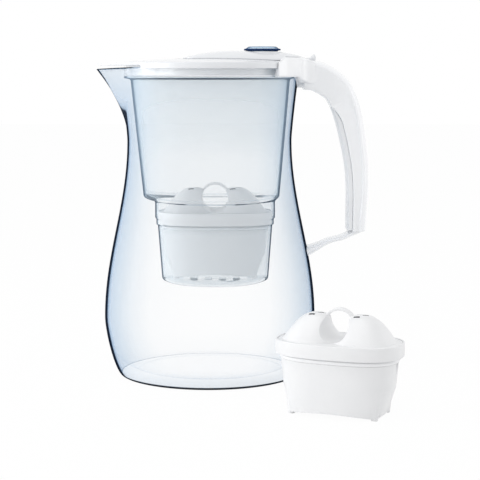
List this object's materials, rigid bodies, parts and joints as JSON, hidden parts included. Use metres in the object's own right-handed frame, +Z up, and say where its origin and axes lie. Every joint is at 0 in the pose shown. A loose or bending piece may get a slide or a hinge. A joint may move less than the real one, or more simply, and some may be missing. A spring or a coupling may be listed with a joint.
{
  "type": "water filter pitcher",
  "caption": "Clear hourglass water filter pitcher with a hanging funnel, a filter cartridge in its socket, a lid with a flip cover and reminder dial, and a spare cartridge beside it.",
  "frame": {"origin": "centre of the jug's base, on the table", "axes": "+Z up, +X from the jug's axis towards the handle, the spout at -X"},
  "size_m": [0.2424, 0.2763, 0.2747],
  "materials": {
    "clear_blue_plastic": "clear, pale blue tint, polished",
    "white_gloss_plastic": "glossy white",
    "white_satin_plastic": "satin white",
    "frosted_plastic": "frosted, translucent",
    "blue_dial_plastic": "clear blue, polished",
    "cartridge_plastic": "satin white",
    "seal_silicone": "soft, pale grey",
    "fleece": "felted, off white",
    "filter_media": "granular, dark"
  },
  "bodies": {
    "root": {"jug_body": "clear_blue_plastic", "handle_shell": "white_gloss_plastic", "handle_grip_cover": "white_satin_plastic"},
    "funnel": {"funnel": "frosted_plastic"},
    "lid": {"lid_shell": "white_gloss_plastic"},
    "flip": {"flip_cover": "white_gloss_plastic", "dial_scale": "white_satin_plastic"},
    "dial": {"indicator_dial": "blue_dial_plastic", "dial_clip": "white_satin_plastic"},
    "cartridge": {"cartridge_body": "cartridge_plastic", "cartridge_cap": "cartridge_plastic", "cartridge_seal": "seal_silicone", "cartridge_top_fleece": "fleece", "cartridge_media": "filter_media", "cartridge_bottom_fleece": "fleece"},
    "spare": {"spare_body": "cartridge_plastic", "spare_cap": "cartridge_plastic", "spare_seal": "seal_silicone", "spare_top_fleece": "fleece", "spare_media": "filter_media", "spare_bottom_fleece": "fleece"}
  },
  "joints": [
    {"name": "lid_lift", "type": "slide", "parent": "funnel", "child": "lid", "axis": [0, 0, 1], "range_m": [0, 0.32]},
    {"name": "flip_hinge", "type": "hinge", "parent": "lid", "child": "flip", "pos_m": [-0.0245, 0, 0.2623], "axis": [0, -1, 0], "range_deg": [0, 100]},
    {"name": "dial_turn", "type": "hinge", "parent": "flip", "child": "dial", "pos_m": [0.0442, 0, 0.27], "axis": [0, 0, 1], "continuous": true},
    {"name": "funnel_lift", "type": "slide", "parent": "root", "child": "funnel", "axis": [0, 0, 1], "range_m": [0, 0.2]},
    {"name": "cartridge_lift", "type": "slide", "parent": "funnel", "child": "cartridge", "axis": [0, 0, 1], "range_m": [0, 0.2]},
    {"name": "spare_lift", "type": "slide", "parent": "root", "child": "spare", "axis": [0, 0, 1], "range_m": [0, 0.2]}
  ],
  "couplings": [
    {"joint": "cartridge_lift", "follows": "lid_lift", "ratio": 0.6}
  ]
}
